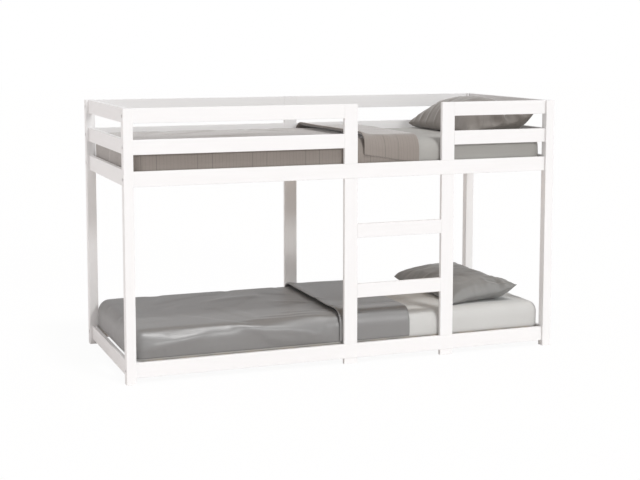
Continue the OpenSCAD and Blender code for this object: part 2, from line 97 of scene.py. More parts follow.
class Graph:
    """Short ways to add and join the nodes of one tree."""

    def __init__(self, tree: bpy.types.NodeTree) -> None:
        """Keeps the tree and clears it."""
        self.tree = tree
        tree.nodes.clear()

    def add(self, kind: str, **settings: object) -> bpy.types.Node:
        """Adds a node.

        Args:
            kind: Its bl_idname without the ShaderNode part.
            settings: Attributes to set on it.

        Returns:
            The new node.
        """
        node = self.tree.nodes.new("ShaderNode" + kind)
        for name, value in settings.items():
            setattr(node, name, value)
        return node

    def join(self, source: bpy.types.NodeSocket, target: bpy.types.NodeSocket) -> None:
        """Links an output to an input."""
        self.tree.links.new(source, target)

    def maths(self, operation: str, first: object, second: object = 0.0) -> bpy.types.NodeSocket:
        """Adds a Math node.

        Args:
            operation: Its operation.
            first: A socket or a number.
            second: A socket or a number.

        Returns:
            The node's output.
        """
        node = self.add("Math", operation=operation)
        for slot, value in enumerate((first, second)):
            if isinstance(value, bpy.types.NodeSocket):
                self.join(value, node.inputs[slot])
            else:
                node.inputs[slot].default_value = value
        return node.outputs[0]

    def ranged(self, value: bpy.types.NodeSocket, low: float, high: float,
               to_low: float, to_high: float) -> bpy.types.NodeSocket:
        """Maps a value from one clamped range to another and returns the output."""
        node = self.add("MapRange")
        self.join(value, node.inputs["Value"])
        for name, number in zip(("From Min", "From Max", "To Min", "To Max"),
                                (low, high, to_low, to_high)):
            node.inputs[name].default_value = number
        return node.outputs["Result"]

    def noise(self, vector: bpy.types.NodeSocket, scale: float, detail: float = 3.0,
              distortion: float = 0.0) -> bpy.types.NodeSocket:
        """Adds a noise texture and returns its value."""
        node = self.add("TexNoise")
        self.join(vector, node.inputs["Vector"])
        node.inputs["Scale"].default_value = scale
        node.inputs["Detail"].default_value = detail
        node.inputs["Distortion"].default_value = distortion
        return node.outputs["Fac"]

    def mapped(self, vector: bpy.types.NodeSocket, scale: Point,
               rotation: Point = (0.0, 0.0, 0.0)) -> bpy.types.NodeSocket:
        """Turns and scales coordinates and returns them."""
        node = self.add("Mapping")
        self.join(vector, node.inputs["Vector"])
        node.inputs["Rotation"].default_value = rotation
        node.inputs["Scale"].default_value = scale
        return node.outputs["Vector"]

    def blend(self, amount: bpy.types.NodeSocket, first: object, second: object) -> bpy.types.NodeSocket:
        """Mixes two colours, each a socket or three numbers, and returns the result."""
        node = self.add("Mix", data_type="RGBA")
        self.join(amount, node.inputs["Factor"])
        for name, value in (("A", first), ("B", second)):
            socket = next(s for s in node.inputs if s.name == name and s.type == "RGBA")
            if isinstance(value, bpy.types.NodeSocket):
                self.join(value, socket)
            else:
                socket.default_value = (*value, 1.0)
        return next(s for s in node.outputs if s.type == "RGBA")


def make_group(name: str, inputs: Sequence[tuple[str, str, float]], outputs: Sequence[tuple[str, str]],
               fill: Callable[[Graph, bpy.types.Node, bpy.types.Node], None]) -> bpy.types.NodeTree:
    """Makes a shader node group.

    Args:
        name: The group's name.
        inputs: Name, socket type and default of each input.
        outputs: Name and socket type of each output.
        fill: Adds the nodes between the group's input and output.

    Returns:
        The group's tree.
    """
    tree = bpy.data.node_groups.new(name, "ShaderNodeTree")
    for label, kind, default in inputs:
        socket = tree.interface.new_socket(label, in_out="INPUT", socket_type="NodeSocket" + kind)
        if kind == "Float":
            socket.default_value = default
    for label, kind in outputs:
        tree.interface.new_socket(label, in_out="OUTPUT", socket_type="NodeSocket" + kind)
    graph = Graph(tree)
    entry = tree.nodes.new("NodeGroupInput")
    leave = tree.nodes.new("NodeGroupOutput")
    fill(graph, entry, leave)
    return tree


class Effects:
    """The shader node groups that several finishes share."""

    def __init__(self) -> None:
        """Builds each group once."""
        self.grain = make_group(
            "timber_grain", [("Vector", "Vector", 0.0)],
            [("Figure", "Float"), ("Height", "Float")], self._grain)
        self.weave = make_group(
            "cloth_weave", [("Vector", "Vector", 0.0), ("Pitch", "Float", 0.001)],
            [("Height", "Float"), ("Slub", "Float")], self._weave)
        self.lines = make_group(
            "line_pairs",
            [("Along", "Float", 0.0), ("Period", "Float", 0.25), ("Pair", "Float", 0.06),
             ("Width", "Float", 0.003), ("Start", "Float", 0.0)],
            [("Mask", "Float")], self._lines)

    @staticmethod
    def _grain(graph: Graph, entry: bpy.types.Node, leave: bpy.types.Node) -> None:
        """Long fibres and the wide rings of a flat-sawn board, with X along the grain."""
        vector = entry.outputs["Vector"]
        fibre = graph.noise(graph.mapped(vector, (3.0, 160.0, 160.0)), 1.0, 4.0)
        rings = graph.noise(graph.mapped(vector, (1.1, 16.0, 16.0)), 1.0, 2.0, 1.2)
        bands = graph.maths("PINGPONG", graph.maths("MULTIPLY", rings, 7.0), 1.0)
        figure = graph.maths("ADD", graph.maths("MULTIPLY", bands, 0.6),
                             graph.maths("MULTIPLY", fibre, 0.4))
        graph.join(figure, leave.inputs["Figure"])
        height = graph.maths("ADD", graph.maths("MULTIPLY", fibre, 0.7),
                             graph.maths("MULTIPLY", bands, 0.3))
        graph.join(height, leave.inputs["Height"])

    @staticmethod
    def _weave(graph: Graph, entry: bpy.types.Node, leave: bpy.types.Node) -> None:
        """Crossing threads at a pitch, and the uneven thickness of the threads."""
        split = graph.add("SeparateXYZ")
        graph.join(entry.outputs["Vector"], split.inputs[0])
        waves = []
        for axis in ("X", "Y"):
            turns = graph.maths("DIVIDE", split.outputs[axis], entry.outputs["Pitch"])
            waves.append(graph.maths("SINE", graph.maths("MULTIPLY", turns, math.tau)))
        product = graph.maths("MULTIPLY", waves[0], waves[1])
        graph.join(graph.ranged(product, -1.0, 1.0, 0.0, 1.0), leave.inputs["Height"])
        warp = graph.noise(graph.mapped(entry.outputs["Vector"], (30.0, 900.0, 1.0)), 1.0, 2.0)
        weft = graph.noise(graph.mapped(entry.outputs["Vector"], (900.0, 30.0, 1.0)), 1.0, 2.0)
        graph.join(graph.maths("MULTIPLY", graph.maths("ADD", warp, weft), 0.5),
                   leave.inputs["Slub"])

    @staticmethod
    def _lines(graph: Graph, entry: bpy.types.Node, leave: bpy.types.Node) -> None:
        """Two thin lines, a pair's width apart, repeated at a period."""
        shifted = graph.maths("SUBTRACT", entry.outputs["Along"], entry.outputs["Start"])
        place = graph.maths("FLOORED_MODULO", shifted, entry.outputs["Period"])
        first = graph.maths("LESS_THAN", place, entry.outputs["Width"])
        away = graph.maths("ABSOLUTE", graph.maths("SUBTRACT", place, entry.outputs["Pair"]))
        second = graph.maths("LESS_THAN", away, graph.maths("MULTIPLY", entry.outputs["Width"], 0.5))
        graph.join(graph.maths("MAXIMUM", first, second), leave.inputs["Mask"])


def place_group(graph: Graph, tree: bpy.types.NodeTree, **values: object) -> bpy.types.Node:
    """Places a node group.

    Args:
        graph: The material's graph.
        tree: The group.
        values: Numbers or sockets for its inputs, by name.

    Returns:
        The group node.
    """
    node = graph.add("Group")
    node.node_tree = tree
    for name, value in values.items():
        if isinstance(value, bpy.types.NodeSocket):
            graph.join(value, node.inputs[name])
        else:
            node.inputs[name].default_value = value
    return node


class Finish:
    """A material made of one Principled shader and its node graph."""

    name: str

    def start(self) -> tuple[bpy.types.Material, Graph, bpy.types.Node]:
        """Makes the material with its shader and output, and returns all three parts."""
        material = bpy.data.materials.new(self.name)
        material.use_nodes = True
        graph = Graph(material.node_tree)
        shader = graph.add("BsdfPrincipled")
        output = graph.add("OutputMaterial")
        graph.join(shader.outputs[0], output.inputs["Surface"])
        return material, graph, shader

    @staticmethod
    def bump(graph: Graph, shader: bpy.types.Node, height: bpy.types.NodeSocket, strength: float,
             distance: float) -> None:
        """Feeds a height to the shader's normal."""
        node = graph.add("Bump")
        node.inputs["Strength"].default_value = strength
        node.inputs["Distance"].default_value = distance
        graph.join(height, node.inputs["Height"])
        graph.join(node.outputs["Normal"], shader.inputs["Normal"])


@dataclass(frozen=True)
class PaintedTimber(Finish):
    """Satin white paint over planed pine, the grain just telegraphing through, with painted shade in joints
    and corners.
    """

    grain: Grain
    colour: Colour = (0.835, 0.832, 0.831)
    shade: Colour = (0.812, 0.806, 0.800)
    # crease: painted shade colour, a pinkish grey that joints and inner corners are darkened toward.
    crease: Colour = (0.70, 0.66, 0.63)
    painted_shade_reach: float = 0.007

    @property
    def name(self) -> str:
        """The material's name."""
        return f"white_paint_{self.grain.name.lower()}"

    def make(self, effects: Effects) -> bpy.types.Material:
        """Builds the material from the shared effects and returns it."""
        material, graph, shader = self.start()
        where = graph.add("TexCoord").outputs["Object"]
        turned = graph.mapped(where, (1.0, 1.0, 1.0), self.grain.value)
        grain = place_group(graph, effects.grain, Vector=turned)
        brush = graph.noise(graph.mapped(turned, (4.0, 90.0, 90.0)), 1.0, 3.0)
        mottle = graph.noise(where, 5.0, 3.0)
        tone = graph.blend(graph.ranged(grain.outputs["Figure"], 0.3, 0.9, 0.0, 0.5),
                           self.colour, self.shade)
        tone = graph.blend(graph.ranged(mottle, 0.45, 0.75, 0.0, 0.35), tone, self.shade)
        # Painted shade: an ambient-occlusion mask darkens the paint toward the crease colour in joints,
        # grooves and inner corners.
        painted_shade_ao = graph.add("AmbientOcclusion", samples=8)
        painted_shade_ao.inputs["Distance"].default_value = self.painted_shade_reach
        tone = graph.blend(graph.ranged(painted_shade_ao.outputs["AO"], 0.30, 0.72, 0.75, 0.0), tone, self.crease)
        graph.join(tone, shader.inputs["Base Color"])
        graph.join(graph.ranged(brush, 0.3, 0.7, 0.36, 0.46), shader.inputs["Roughness"])
        height = graph.maths("ADD", grain.outputs["Height"], graph.maths("MULTIPLY", brush, 0.5))
        self.bump(graph, shader, height, 0.10, 0.0006)
        return material


@dataclass(frozen=True)
class RawPine(Finish):
    """Planed, unpainted pine."""

    grain: Grain
    light: Colour = (0.71, 0.50, 0.29)
    dark: Colour = (0.52, 0.32, 0.155)
    knot: Colour = (0.26, 0.13, 0.06)

    @property
    def name(self) -> str:
        """The material's name."""
        return f"raw_pine_{self.grain.name.lower()}"

    def make(self, effects: Effects) -> bpy.types.Material:
        """Builds the material from the shared effects and returns it."""
        material, graph, shader = self.start()
        where = graph.add("TexCoord").outputs["Object"]
        turned = graph.mapped(where, (1.0, 1.0, 1.0), self.grain.value)
        grain = place_group(graph, effects.grain, Vector=turned)
        tone = graph.blend(graph.ranged(grain.outputs["Figure"], 0.2, 0.85, 0.0, 1.0),
                           self.light, self.dark)
        cells = graph.add("TexVoronoi", feature="F1")
        graph.join(graph.mapped(turned, (2.2, 9.0, 9.0)), cells.inputs["Vector"])
        cells.inputs["Scale"].default_value = 1.0
        tone = graph.blend(graph.ranged(cells.outputs["Distance"], 0.05, 0.13, 0.8, 0.0),
                           tone, self.knot)
        graph.join(tone, shader.inputs["Base Color"])
        graph.join(graph.ranged(grain.outputs["Height"], 0.2, 0.8, 0.48, 0.66),
                   shader.inputs["Roughness"])
        self.bump(graph, shader, grain.outputs["Height"], 0.25, 0.0006)
        return material


@dataclass(frozen=True)
class ZincSteel(Finish):
    """Bright zinc plate on turned steel."""

    name: str = "zinc_steel"
    colour: Colour = (0.62, 0.63, 0.65)
    dull: Colour = (0.40, 0.41, 0.43)

    def make(self, effects: Effects) -> bpy.types.Material:
        """Builds the material and returns it."""
        material, graph, shader = self.start()
        where = graph.add("TexCoord").outputs["Object"]
        cloud = graph.noise(where, 400.0, 3.0)
        graph.join(graph.blend(graph.ranged(cloud, 0.35, 0.7, 0.0, 1.0), self.colour, self.dull),
                   shader.inputs["Base Color"])
        shader.inputs["Metallic"].default_value = 1.0
        graph.join(graph.ranged(cloud, 0.3, 0.7, 0.28, 0.45), shader.inputs["Roughness"])
        self.bump(graph, shader, cloud, 0.1, 0.0003)
        return material


@dataclass(frozen=True)
class Cloth(Finish):
    """Woven cotton, with its own colour, sheen, weave and an optional windowpane check."""

    name: str
    colour: Colour
    deep: Colour
    roughness: float = 0.85
    sheen: float = 0.15
    pitch: float = 0.0016
    weave: float = 0.25
    rumple: float = 0.0
    line: Colour = (0.10, 0.09, 0.08)
    line_strength: float = 0.0
    line_period: float = 0.25
    line_pair: float = 0.064
    line_width: float = 0.0042
    fine_strength: float = 0.0
    line_start: float = 0.0
    glow: Colour = (1.0, 1.0, 1.0)
    shine: float = 0.5

    def make(self, effects: Effects) -> bpy.types.Material:
        """Builds the material from the shared effects and returns it."""
        material, graph, shader = self.start()
        cloth = graph.add("UVMap", uv_map="cloth").outputs["UV"]
        weave = place_group(graph, effects.weave, Vector=cloth, Pitch=self.pitch)
        cloud = graph.noise(graph.mapped(cloth, (3.0, 3.0, 3.0)), 1.0, 3.0)
        tone = graph.blend(graph.ranged(weave.outputs["Slub"], 0.35, 0.65, 0.0, 0.55),
                           self.colour, self.deep)
        tone = graph.blend(graph.ranged(cloud, 0.4, 0.7, 0.0, 0.4), tone, self.deep)
        if self.line_strength:
            tone = self._check(graph, effects, cloth, tone)
        graph.join(tone, shader.inputs["Base Color"])
        rough = graph.ranged(weave.outputs["Slub"], 0.3, 0.7, self.roughness - 0.05,
                             min(1.0, self.roughness + 0.05))
        graph.join(rough, shader.inputs["Roughness"])
        shader.inputs["Sheen Weight"].default_value = self.sheen
        shader.inputs["Sheen Roughness"].default_value = 0.4
        shader.inputs["Sheen Tint"].default_value = (*self.glow, 1.0)
        shader.inputs["Specular IOR Level"].default_value = self.shine
        height = weave.outputs["Height"]
        if self.rumple:
            fine = graph.noise(graph.mapped(cloth, (28.0, 28.0, 28.0)), 1.0, 4.0, 0.6)
            height = graph.maths("ADD", graph.maths("MULTIPLY", height, 0.25),
                                 graph.maths("MULTIPLY", fine, self.rumple))
        self.bump(graph, shader, height, self.weave, 0.0012)
        return material

    def _check(self, graph: Graph, effects: Effects, cloth: bpy.types.NodeSocket,
               tone: bpy.types.NodeSocket) -> bpy.types.NodeSocket:
        """Draws pairs of thin lines both ways over a tone and returns the new tone."""
        split = graph.add("SeparateXYZ")
        graph.join(cloth, split.inputs[0])
        bold = place_group(graph, effects.lines, Along=split.outputs["X"], Period=self.line_period,
                           Pair=self.line_pair, Width=self.line_width, Start=self.line_start)
        fine = place_group(graph, effects.lines, Along=split.outputs["X"],
                           Period=self.line_period / 8, Pair=self.line_period / 18,
                           Width=self.line_width * 0.7, Start=self.line_start + 0.006)
        lines = graph.maths("MAXIMUM",
                            graph.maths("MULTIPLY", bold.outputs["Mask"], self.line_strength),
                            graph.maths("MULTIPLY", fine.outputs["Mask"], self.fine_strength))
        return graph.blend(lines, tone, self.line)


# Mesh helpers


def only(*objects: bpy.types.Object) -> None:
    """Selects just these objects, and makes the first one active."""
    bpy.ops.object.select_all(action="DESELECT")
    for one in objects:
        one.select_set(True)
    bpy.context.view_layer.objects.active = objects[0]


def apply_modifier(piece: bpy.types.Object, kind: str, **settings: object) -> None:
    """Adds a modifier of a kind to a piece with these settings, and applies it."""
    only(piece)
    modifier = piece.modifiers.new(kind.lower(), kind)
    for name, value in settings.items():
        setattr(modifier, name, value)
    bpy.ops.object.modifier_apply(modifier=modifier.name)


def coordinates(piece: bpy.types.Object) -> np.ndarray:
    """A piece's vertices as rows of three numbers."""
    found = np.zeros(len(piece.data.vertices) * 3)
    piece.data.vertices.foreach_get("co", found)
    return found.reshape(-1, 3)


def set_coordinates(piece: bpy.types.Object, places: np.ndarray) -> None:
    """Puts a piece's vertices at these places."""
    piece.data.vertices.foreach_set("co", np.asarray(places, float).ravel())
    piece.data.update()


def normals_of(piece: bpy.types.Object) -> np.ndarray:
    """A piece's vertex normals as rows of three numbers."""
    return np.array([v.normal for v in piece.data.vertices], float)


def ripple(places: np.ndarray, scale: Point, seed: float, octaves: int = 2) -> np.ndarray:
    """Smooth noise from -1 to 1 at each place.

    Args:
        places: Rows of three numbers.
        scale: How quickly the noise changes along each axis.
        seed: Shifts the noise, so that pieces differ.
        octaves: How many finer layers it has.

    Returns:
        One value for each place.
    """
    stretched = places * np.array(scale) + seed
    return np.array([noise.fractal(Vector(p), 1.0, 2.0, octaves) for p in stretched])


def make_mesh(name: str, places: np.ndarray, faces: np.ndarray,
              corners: np.ndarray) -> bpy.types.Object:
    """Makes a mesh object with a UV map of its cloth.

    Args:
        name: The object's name.
        places: Vertex places.
        faces: Vertex numbers of each face.
        corners: The flat cloth place of each face's corners in turn, in metres.

    Returns:
        The linked object.
    """
    mesh = bpy.data.meshes.new(name)
    mesh.from_pydata(places.tolist(), [], faces.tolist())
    layer = mesh.uv_layers.new(name="cloth")
    layer.data.foreach_set("uv", corners.astype(np.float32).ravel())
    mesh.update()
    piece = bpy.data.objects.new(name, mesh)
    bpy.context.scene.collection.objects.link(piece)
    return piece


def smooth(piece: bpy.types.Object) -> None:
    """Shades a piece smooth."""
    piece.data.polygons.foreach_set("use_smooth", [True] * len(piece.data.polygons))


def group_weights(piece: bpy.types.Object, name: str, weights: np.ndarray) -> None:
    """Gives a piece a vertex group with these weights."""
    group = piece.vertex_groups.new(name=name)
    for number, weight in enumerate(weights):
        group.add([number], float(weight), "REPLACE")


def settle(piece: bpy.types.Object, frames: int, held: np.ndarray, cap: float, pressure: float = 0.0,
           slack: float = 0.0, bending: float = 0.5, outward: np.ndarray | None = None) -> None:
    """Runs Blender's cloth on a piece, limits how far it moves, and keeps the result.

    Args:
        piece: The cloth.
        frames: How many frames to run.
        held: Weight from 0, free, to 1, pinned, of each vertex.
        cap: The most that a vertex may move.
        pressure: Pressure inside a closed piece.
        slack: Extra cloth as a share of its length.
        bending: Stiffness against bending.
        outward: For cloth on a solid, the way out of it at each vertex, which no vertex moves against.
    """
    before = coordinates(piece)
    group_weights(piece, "held", held)
    modifier = piece.modifiers.new("settle", "CLOTH")
    cloth = modifier.settings
    cloth.quality = 6
    cloth.mass = 0.25
    cloth.tension_stiffness = 18.0
    cloth.compression_stiffness = 18.0
    cloth.shear_stiffness = 6.0
    cloth.bending_stiffness = bending
    cloth.vertex_group_mass = "held"
    cloth.shrink_min = -slack
    cloth.effector_weights.gravity = 0.0
    cloth.use_pressure = pressure > 0.0
    cloth.uniform_pressure_force = pressure
    modifier.collision_settings.use_collision = False
    modifier.point_cache.frame_start = 1
    modifier.point_cache.frame_end = frames
    for frame in range(1, frames + 1):
        bpy.context.scene.frame_set(frame)
    only(piece)
    bpy.ops.object.modifier_apply(modifier=modifier.name)
    bpy.context.scene.frame_set(1)
    step = coordinates(piece) - before
    if outward is not None:
        into = np.minimum((step * outward).sum(axis=1), 0.0)
        step -= outward * into[:, None]
    length = np.linalg.norm(step, axis=1, keepdims=True)
    share = np.minimum(1.0, cap / np.maximum(length, 1e-9))
    set_coordinates(piece, before + step * share)
    piece.vertex_groups.remove(piece.vertex_groups["held"])


# Timber and fasteners, which keep their CAD meshes


@dataclass
class Timber:
    """Every board, post, ledger, slat and dowel."""

    frame: dict
    effects: Effects
    upright: tuple[str, ...] = ("post_", "ladder_stile_", "back_support_")
    crosswise: tuple[str, ...] = ("end_rail_", "slats_")
    raw: tuple[str, ...] = ("ledger_lower", "ledger_upper", "slats_", "wood_dowels")
    made: dict[str, bpy.types.Material] = field(default_factory=dict)

    def grain_of(self, node: str) -> Grain:
        """The axis that a node's grain runs along."""
        if node.startswith(self.upright):
            return Grain.Z
        return Grain.Y if node.startswith(self.crosswise) else Grain.X

    def dress(self, nodes: Sequence[str]) -> None:
        """Gives each timber node its material."""
        for node in nodes:
            kind = RawPine if node.startswith(self.raw) else PaintedTimber
            finish = kind(grain=self.grain_of(node))
            if finish.name not in self.made:
                self.made[finish.name] = finish.make(self.effects)
            wear(self.frame["nodes"][node], self.made[finish.name])
            LOG.info("%s is %s", node, finish.name)


def wear(piece: bpy.types.Object, material: bpy.types.Material) -> None:
    """Gives a piece one material."""
    piece.data.materials.clear()
    piece.data.materials.append(material)


@dataclass
class Hardware:
    """Bed bolts, barrel nuts and wood screws."""

    frame: dict
    effects: Effects

    def dress(self, nodes: Sequence[str]) -> None:
        """Gives each steel node its material."""
        zinc = ZincSteel().make(self.effects)
        for node in nodes:
            wear(self.frame["nodes"][node], zinc)
            LOG.info("%s is zinc plated", node)


# Bedding


@dataclass
class Block:
    """The rounded block that a mattress fills, and how cloth wraps round it."""

    low: Vector
    high: Vector
    plan_r: float = 0.050
    top_r: float = 0.044
    bottom_r: float = 0.010

    def place(self, flat: np.ndarray, run: np.ndarray, rise: np.ndarray, stand: np.ndarray) -> np.ndarray:
        """Places points of cloth on the block.

        Args:
            flat: X and Y of each point, on or inside the square-cornered outline.
            run: Distance of cloth from the outline: below 0 on top, above 0 down the side.
            rise: How far the cloth stands off the top.
            stand: How far it stands off the sides.

        Returns:
            The place of each point.
        """
        tall = self.high.z - self.low.z
        over = np.clip((run + self.top_r) / (2 * self.top_r), 0.0, 1.0) * math.pi / 2
        under = np.clip((run - tall + self.bottom_r) / (2 * self.bottom_r), 0.0, 1.0) * math.pi / 2
        outset = np.minimum(run, -self.top_r) + (self.top_r + stand) * np.sin(over)
        outset += np.where(run > 0, (self.bottom_r + stand) * (np.cos(under) - 1.0), 0.0)
        outset -= np.maximum(run - tall - self.bottom_r, 0.0)
        height = self.high.z - self.top_r + (self.top_r + rise) * np.cos(over)
        height -= np.clip(run - self.top_r, 0.0, tall - self.top_r - self.bottom_r)
        height -= (self.bottom_r + stand) * np.sin(under)
        inner_low = np.array(self.low[:2]) + self.plan_r
        inner_high = np.array(self.high[:2]) - self.plan_r
        core = np.clip(flat, inner_low, inner_high)
        away = flat - core
        unit = away / np.maximum(np.linalg.norm(away, axis=1), 1e-9)[:, None]
        reach = np.maximum(self.plan_r + outset, 0.0)
        return np.column_stack([core + unit * reach[:, None], height])

    def run_of(self, flat: np.ndarray) -> np.ndarray:
        """Distance of each point on top from the outline, as a number below 0."""
        to_low = flat - np.array(self.low[:2])
        to_high = np.array(self.high[:2]) - flat
        return -np.minimum(np.minimum(to_low, to_high).min(axis=-1), self.plan_r)


PLAN_R = {Bunk.LOWER: 0.050, Bunk.UPPER: 0.062}
# The upper sheet's colours are darker than the lower's: painted shade, for the shadow the guard boards cast
# over the upper bunk.
SHEET_PALE = {Bunk.LOWER: (0.56, 0.56, 0.545), Bunk.UPPER: (0.375, 0.37, 0.35)}
SHEET_DEEP = {Bunk.LOWER: (0.52, 0.52, 0.505), Bunk.UPPER: (0.35, 0.34, 0.32)}
SHEET_SEED = {Bunk.LOWER: 3.0, Bunk.UPPER: 8.0}


def mattress_block(bunk: Bunk) -> Block:
    """The block of one bunk's mattress."""
    low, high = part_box(f"mattress_{bunk.value}")
    return Block(low, high, plan_r=PLAN_R[bunk])


class Layout:
    """Cloth laid out as patches that share the vertices along their edges."""

    def __init__(self, block: Block) -> None:
        """Starts with no cloth on a block."""
        self.block = block
        self.flat: list[np.ndarray] = []
        self.run: list[np.ndarray] = []
        self.rise: list[np.ndarray] = []
        self.stand: list[np.ndarray] = []
        self.cloth: list[np.ndarray] = []
        self.count = 0
        self.faces: list[np.ndarray] = []
        self.corners: list[np.ndarray] = []

    def points(self, flat: np.ndarray, run: np.ndarray, rise: object, stand: object,
               cloth: np.ndarray) -> np.ndarray:
        """Adds a grid of points.

        Args:
            flat: X and Y of each, shaped rows by columns by 2.
            run: Distance from the outline, shaped rows by columns.
            rise: How far each stands off the top.
            stand: How far each stands off the side.
            cloth: The place of each in the flat cloth, shaped rows by columns by 2.

        Returns:
            The number of each point, shaped rows by columns.
        """
        shape = run.shape
        size = run.size
        self.flat.append(flat.reshape(-1, 2))
        self.run.append(run.ravel())
        self.rise.append(np.broadcast_to(rise, shape).ravel())
        self.stand.append(np.broadcast_to(stand, shape).ravel())
        self.cloth.append(cloth.reshape(-1, 2))
        numbers = np.arange(self.count, self.count + size).reshape(shape)
        self.count += size
        return numbers

    def patch(self, numbers: np.ndarray, cloth: np.ndarray) -> None:
        """Adds the faces between rows and columns of points, with their places in the cloth."""
        self.faces.append(quads_of(numbers, -1).reshape(-1, 4))
        self.corners.append(quads_of(cloth, -2).reshape(-1, 2))

    def gathered(self, name: str) -> np.ndarray:
        """All points' values of one name, in one array."""
        return np.concatenate(getattr(self, name))

    def mesh(self, name: str, swell: np.ndarray | float = 0.0) -> bpy.types.Object:
        """Makes the cloth's middle surface.

        Args:
            name: The object's name.
            swell: How much further each point stands off the block.

        Returns:
            The linked object, with the UV map of its cloth.
        """
        places = self.block.place(self.gathered("flat"), self.gathered("run"),
                                  self.gathered("rise") + swell, self.gathered("stand") + swell)
        return make_mesh(name, places, np.concatenate(self.faces), np.concatenate(self.corners))


def quads_of(rows: np.ndarray, axis: int) -> np.ndarray:
    """The four corners of each cell between rows and columns of values, stacked on a new axis."""
    corners = (np.s_[:-1, :-1], np.s_[1:, :-1], np.s_[1:, 1:], np.s_[:-1, 1:])
    return np.stack([rows[c] for c in corners], axis=axis)


def grid_of(first: np.ndarray, second: np.ndarray) -> np.ndarray:
    """Pairs of every first value with every second one, shaped rows by columns by 2."""
    return np.stack(np.meshgrid(first, second, indexing="ij"), axis=-1)


def steps(low: float, high: float, cell: float) -> np.ndarray:
    """Evenly spaced values from low to high, about a cell apart."""
    return np.linspace(low, high, max(2, round(abs(high - low) / cell) + 1))


def side_cloth(side: str, flat: np.ndarray, run: np.ndarray, block: Block) -> np.ndarray:
    """The place in the flat cloth of points on one side of the block."""
    if side in ("front", "back"):
        across = block.low.y - run if side == "front" else block.high.y + run
        return np.stack([flat[..., 0], across], axis=-1)
    along = block.low.x - run if side == "foot" else block.high.x + run
    return np.stack([along, flat[..., 1]], axis=-1)


def drape(layout: Layout, xs: np.ndarray, ys: np.ndarray, drop: np.ndarray, rise: float, stand: float,
          closed: bool) -> tuple[np.ndarray, dict[str, np.ndarray]]:
    """Lays cloth over the top of a block and down its sides.

    Args:
        layout: The cloth.
        xs: Columns along the bed, from the foot.
        ys: Rows across it, from the front.
        drop: Distances down the side, from 0.
        rise: How far the cloth stands off the top.
        stand: How far it stands off the sides.
        closed: True if the head has a side too.

    Returns:
        The numbers of the points on top, and on each side from the top edge down.
    """
    block = layout.block
    flat = grid_of(xs, ys)
    top = layout.points(flat, block.run_of(flat), rise, stand, flat)
    layout.patch(top, flat)
    edges = [("back", top[::-1, -1], flat[::-1, -1]), ("foot", top[0, ::-1], flat[0, ::-1]),
             ("front", top[:, 0], flat[:, 0])]
    if closed:
        edges.append(("head", top[-1, :], flat[-1, :]))
    path = np.concatenate([numbers[:-1] for _, numbers, _ in edges] + [edges[-1][1][-1:]])
    outline = np.concatenate([places[:-1] for _, _, places in edges] + [edges[-1][2][-1:]])
    hung = outline[None].repeat(len(drop) - 1, axis=0)
    run = np.broadcast_to(drop[1:, None], hung.shape[:2])
    if closed:
        lower = layout.points(hung[:, :-1], run[:, :-1].copy(), rise, stand, hung[:, :-1])
        lower = np.concatenate([lower, lower[:, :1]], axis=1)
    else:
        lower = layout.points(hung, run.copy(), rise, stand, hung)
    whole = np.concatenate([path[None], lower])
    hung = outline[None].repeat(len(drop), axis=0)
    run = np.broadcast_to(drop[:, None], whole.shape)
    sides: dict[str, np.ndarray] = {}
    start = 0
    for side, numbers, _ in edges:
        part = np.s_[:, start:start + len(numbers)]
        sides[side] = whole[part]
        layout.patch(whole[part], side_cloth(side, hung[part], run[part], block))
        start += len(numbers) - 1
    return top, sides


